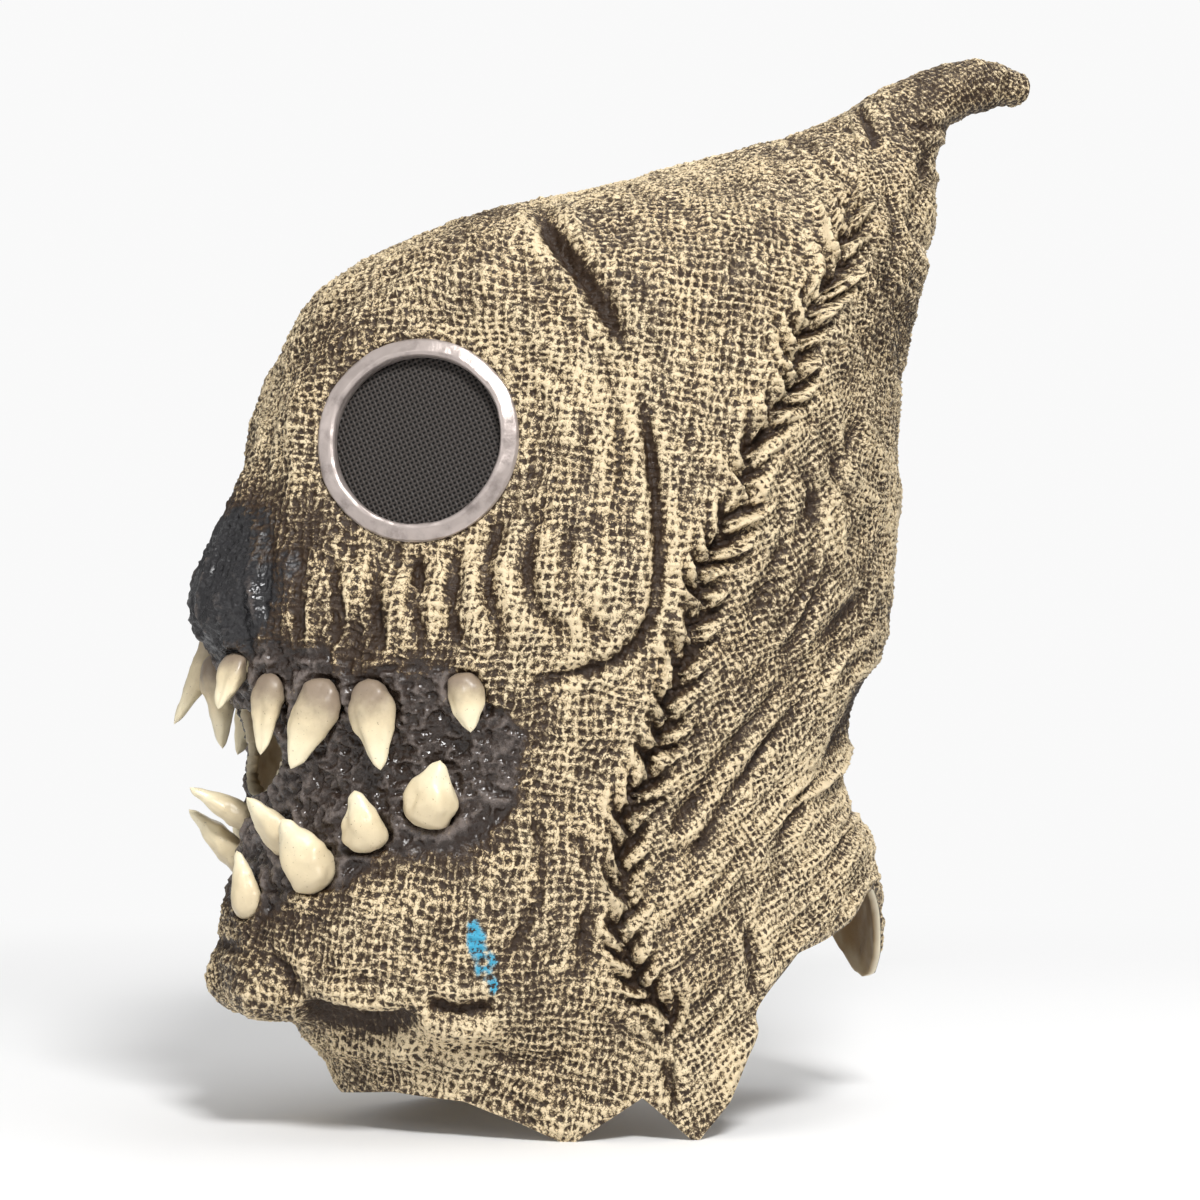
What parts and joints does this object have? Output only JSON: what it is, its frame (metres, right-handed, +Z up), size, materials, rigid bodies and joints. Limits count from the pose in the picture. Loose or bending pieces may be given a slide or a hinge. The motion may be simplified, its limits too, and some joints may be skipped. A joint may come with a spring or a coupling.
{
  "type": "latex sack monster mask",
  "caption": "Full-head latex costume mask shaped as a stitched sack with a curled tip, round screened eyes, an open mouth and hard fangs.",
  "frame": {"origin": "centre of the bounding box's base, on the surface that the hem stands on", "axes": "the face looks along -Y, the wearer's left is +X, +Z is up, towards the curled tip"},
  "size_m": [0.211, 0.3582, 0.4339],
  "materials": {
    "latex": "cast latex with a woven sack texture, dark stain in the recesses and tan dry-brushed on the threads",
    "ring": "silver-painted, slightly worn",
    "screen": "black woven mesh",
    "glue": "dried latex glue",
    "tooth": "ivory, stained grey at the root"
  },
  "bodies": {
    "root": {"latex_hood": "latex", "eye_ring_left": "ring", "eye_screen_left": "screen", "eye_screen_glue_left": "glue", "eye_ring_right": "ring", "eye_screen_right": "screen", "eye_screen_glue_right": "glue", "tooth_upper_left_1": "tooth", "tooth_upper_left_2": "tooth", "tooth_upper_left_3": "tooth", "tooth_upper_left_4": "tooth", "tooth_upper_left_5": "tooth", "tooth_upper_right_1": "tooth", "tooth_upper_right_2": "tooth", "tooth_upper_right_3": "tooth", "tooth_upper_right_4": "tooth", "tooth_upper_right_5": "tooth", "tooth_lower_left_1": "tooth", "tooth_lower_left_2": "tooth", "tooth_lower_left_3": "tooth", "tooth_lower_left_4": "tooth", "tooth_lower_left_5": "tooth", "tooth_lower_right_1": "tooth", "tooth_lower_right_2": "tooth", "tooth_lower_right_3": "tooth", "tooth_lower_right_4": "tooth", "tooth_lower_right_5": "tooth"}
  },
  "joints": []
}
